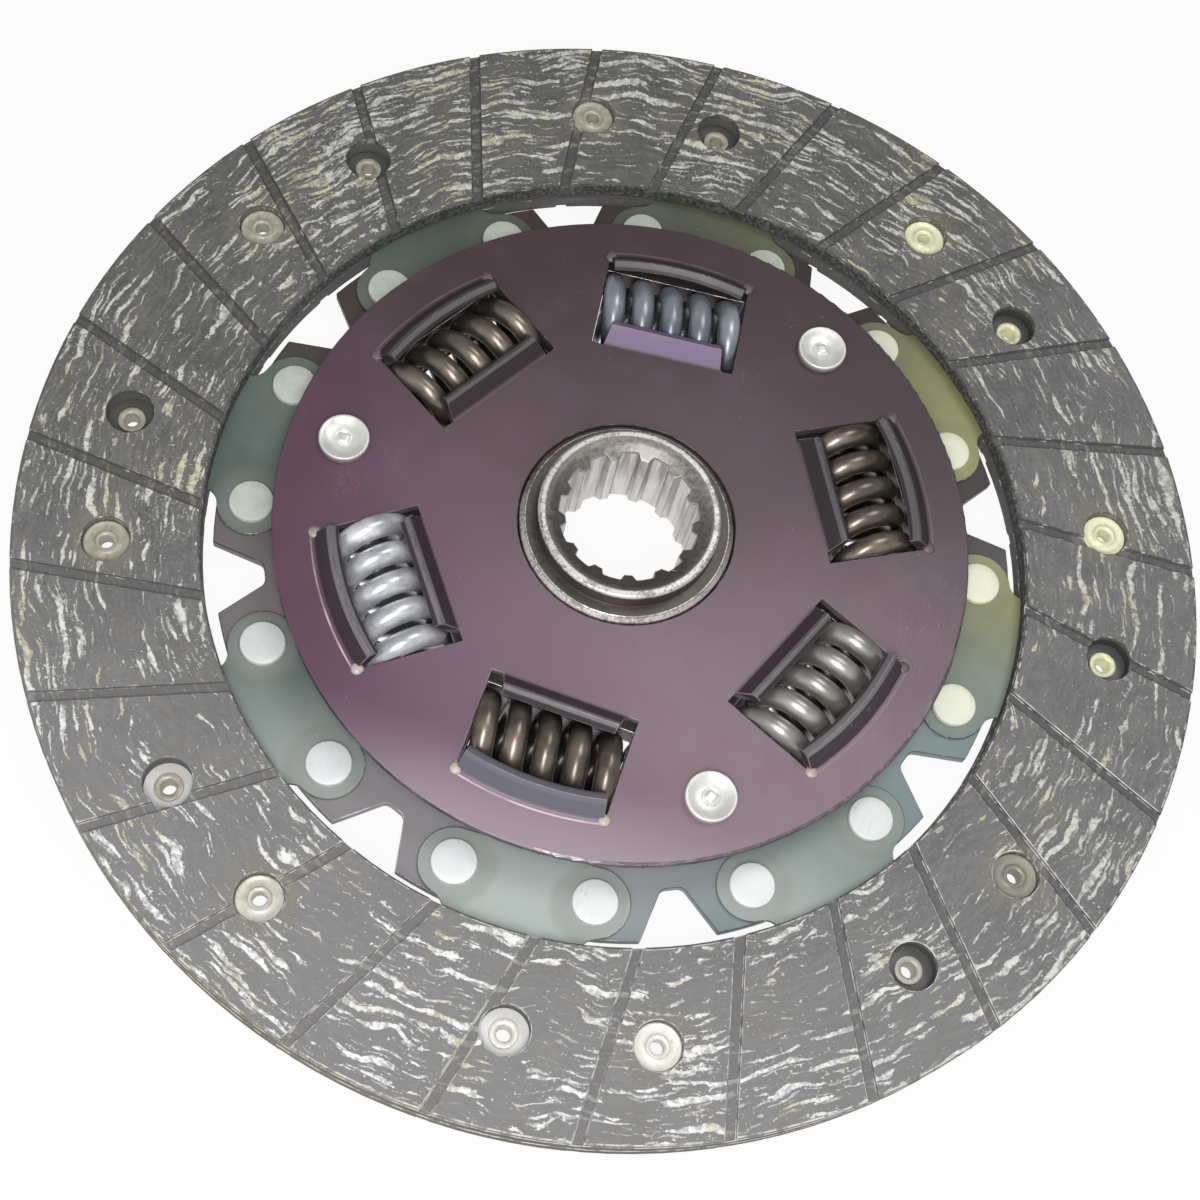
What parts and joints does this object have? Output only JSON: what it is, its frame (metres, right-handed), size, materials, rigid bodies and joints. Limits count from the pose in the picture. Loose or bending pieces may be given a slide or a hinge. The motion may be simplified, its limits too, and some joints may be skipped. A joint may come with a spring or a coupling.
{
  "type": "clutch disc",
  "caption": "Dry clutch driven disc: grooved friction rings riveted to cushion segments, coil-spring torsion damper in lipped windows, and a splined hub for the gearbox shaft.",
  "frame": {"origin": "on the shaft axis, in the middle plane between the two friction facings", "axes": "+Z along the shaft axis towards the retaining plate (gearbox side); +X through the middle of cushion segment 1"},
  "size_m": [0.215, 0.215, 0.0197],
  "materials": {
    "friction_lining": "matt moulded organic lining with pale wound yarn showing as broken wavy strands",
    "segment_steel": "oiled spring steel with a blue-green to olive temper film",
    "rivet_steel": "pale zinc, satin",
    "rivet_brass": "dull brass, satin",
    "plate_coat": "thin dark mauve-brown oxide coat, half gloss",
    "pin_steel": "pale zinc, satin",
    "hub_steel": "turned steel, grey, brighter on the worn rings",
    "washer_lining": "matt",
    "spring_steel": "oil-tempered wire, dark bronze to gunmetal, glossy"
  },
  "bodies": {
    "disc": {"front_facing": "friction_lining", "rear_facing": "friction_lining", "cushion_segment_1": "segment_steel", "cushion_segment_2": "segment_steel", "cushion_segment_3": "segment_steel", "cushion_segment_4": "segment_steel", "cushion_segment_5": "segment_steel", "cushion_segment_6": "segment_steel", "cushion_segment_7": "segment_steel", "cushion_segment_8": "segment_steel", "segment_rivets": "rivet_steel", "front_facing_rivets": "rivet_brass", "rear_facing_rivets": "rivet_brass", "disc_plate": "plate_coat", "retaining_plate": "plate_coat", "stop_pin_1": "pin_steel", "stop_pin_2": "pin_steel", "stop_pin_3": "pin_steel", "rear_friction_washer": "washer_lining", "front_friction_washer": "washer_lining", "spring_washer": "spring_steel"},
    "hub": {"hub": "hub_steel"},
    "springs": {"damper_spring_1": "spring_steel", "damper_spring_2": "spring_steel", "damper_spring_3": "spring_steel", "damper_spring_4": "spring_steel", "damper_spring_5": "spring_steel", "damper_spring_6": "spring_steel"}
  },
  "joints": [
    {"name": "hub_twist", "type": "hinge", "parent": "disc", "child": "hub", "pos_m": [0, 0, 0], "axis": [0, 0, 1], "range_deg": [-6, 6], "stiffness_Nm_per_rad": 1150, "deforming": ["damper_spring_1", "damper_spring_2", "damper_spring_3", "damper_spring_4", "damper_spring_5", "damper_spring_6"]},
    {"name": "spring_shift", "type": "hinge", "parent": "disc", "child": "springs", "pos_m": [0, 0, 0], "axis": [0, 0, 1], "range_deg": [-3, 3]}
  ],
  "couplings": [
    {"joint": "spring_shift", "follows": "hub_twist", "ratio": 0.5}
  ]
}
